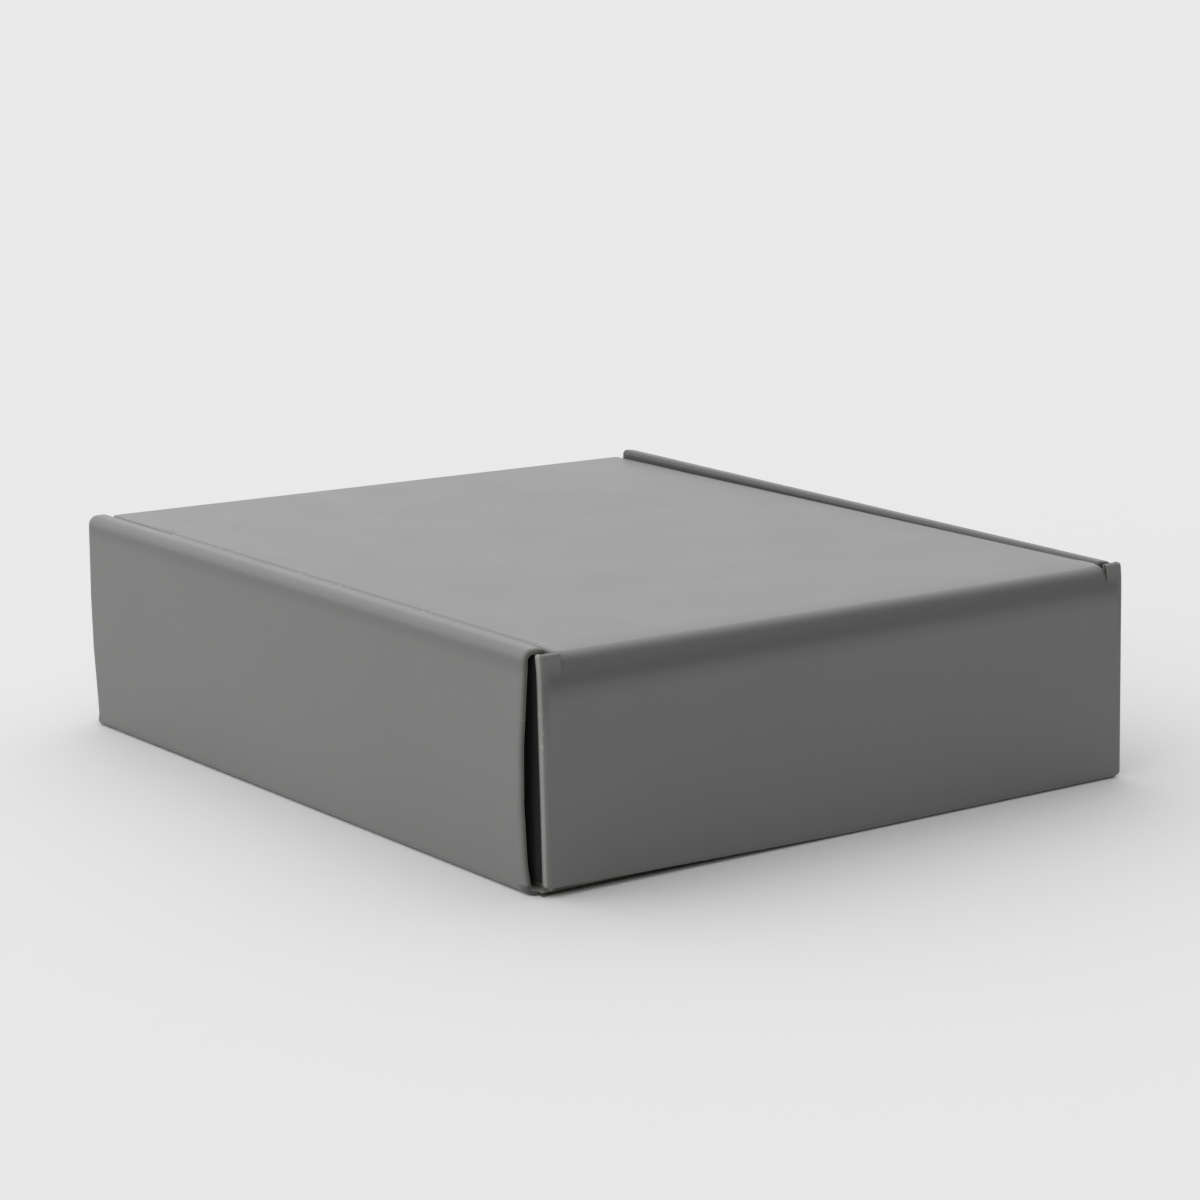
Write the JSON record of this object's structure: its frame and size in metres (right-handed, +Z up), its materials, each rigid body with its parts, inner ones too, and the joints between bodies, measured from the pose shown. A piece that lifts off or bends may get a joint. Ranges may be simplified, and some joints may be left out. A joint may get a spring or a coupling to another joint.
{
  "type": "folding archival box",
  "caption": "Shallow folding box of laminated fluted board with rolled double side walls, a soft-hinged sunken lid, a tuck flap and side dust flaps.",
  "frame": {"origin": "middle of the base, on the surface that the box stands on", "axes": "+Z up, +Y towards the rear wall that carries the hinge fold, -Y the front where the lid opens, +X to the right of someone who faces the front from outside looking along +Y"},
  "size_m": [0.2712, 0.3086, 0.0844],
  "materials": {
    "grey_laminate": "satin grey laminate over fluted board",
    "grey_liner": "uncoated grey paper liner over fluted board"
  },
  "bodies": {
    "tray": {"floor_panel": "grey_liner", "rear_wall": "grey_laminate", "front_wall": "grey_laminate", "right_side_outer": "grey_laminate", "left_side_outer": "grey_laminate", "right_side_top": "grey_laminate", "left_side_top": "grey_laminate", "right_side_inner": "grey_laminate", "left_side_inner": "grey_laminate", "right_rear_ear": "grey_laminate", "left_rear_ear": "grey_laminate", "right_front_ear": "grey_laminate", "left_front_ear": "grey_laminate"},
    "lid": {"lid_panel": "grey_laminate"},
    "tuck_flap": {"lid_tuck_flap": "grey_laminate"},
    "right_dust_flap": {"right_lid_dust_flap": "grey_laminate"},
    "left_dust_flap": {"left_lid_dust_flap": "grey_laminate"}
  },
  "joints": [
    {"name": "lid_hinge", "type": "hinge", "parent": "tray", "child": "lid", "pos_m": [0, 0.15241, 0.07921], "axis": [-1, 0, 0], "range_deg": [0, 175]},
    {"name": "tuck_crease", "type": "hinge", "parent": "lid", "child": "tuck_flap", "pos_m": [0, -0.1502, 0.0793], "axis": [1, 0, 0], "range_deg": [0, 80]},
    {"name": "right_dust_crease", "type": "hinge", "parent": "lid", "child": "right_dust_flap", "pos_m": [0.1244, 0, 0.0793], "axis": [0, 1, 0], "range_deg": [0, 85]},
    {"name": "left_dust_crease", "type": "hinge", "parent": "lid", "child": "left_dust_flap", "pos_m": [-0.1244, 0, 0.0793], "axis": [0, -1, 0], "range_deg": [0, 85]}
  ]
}
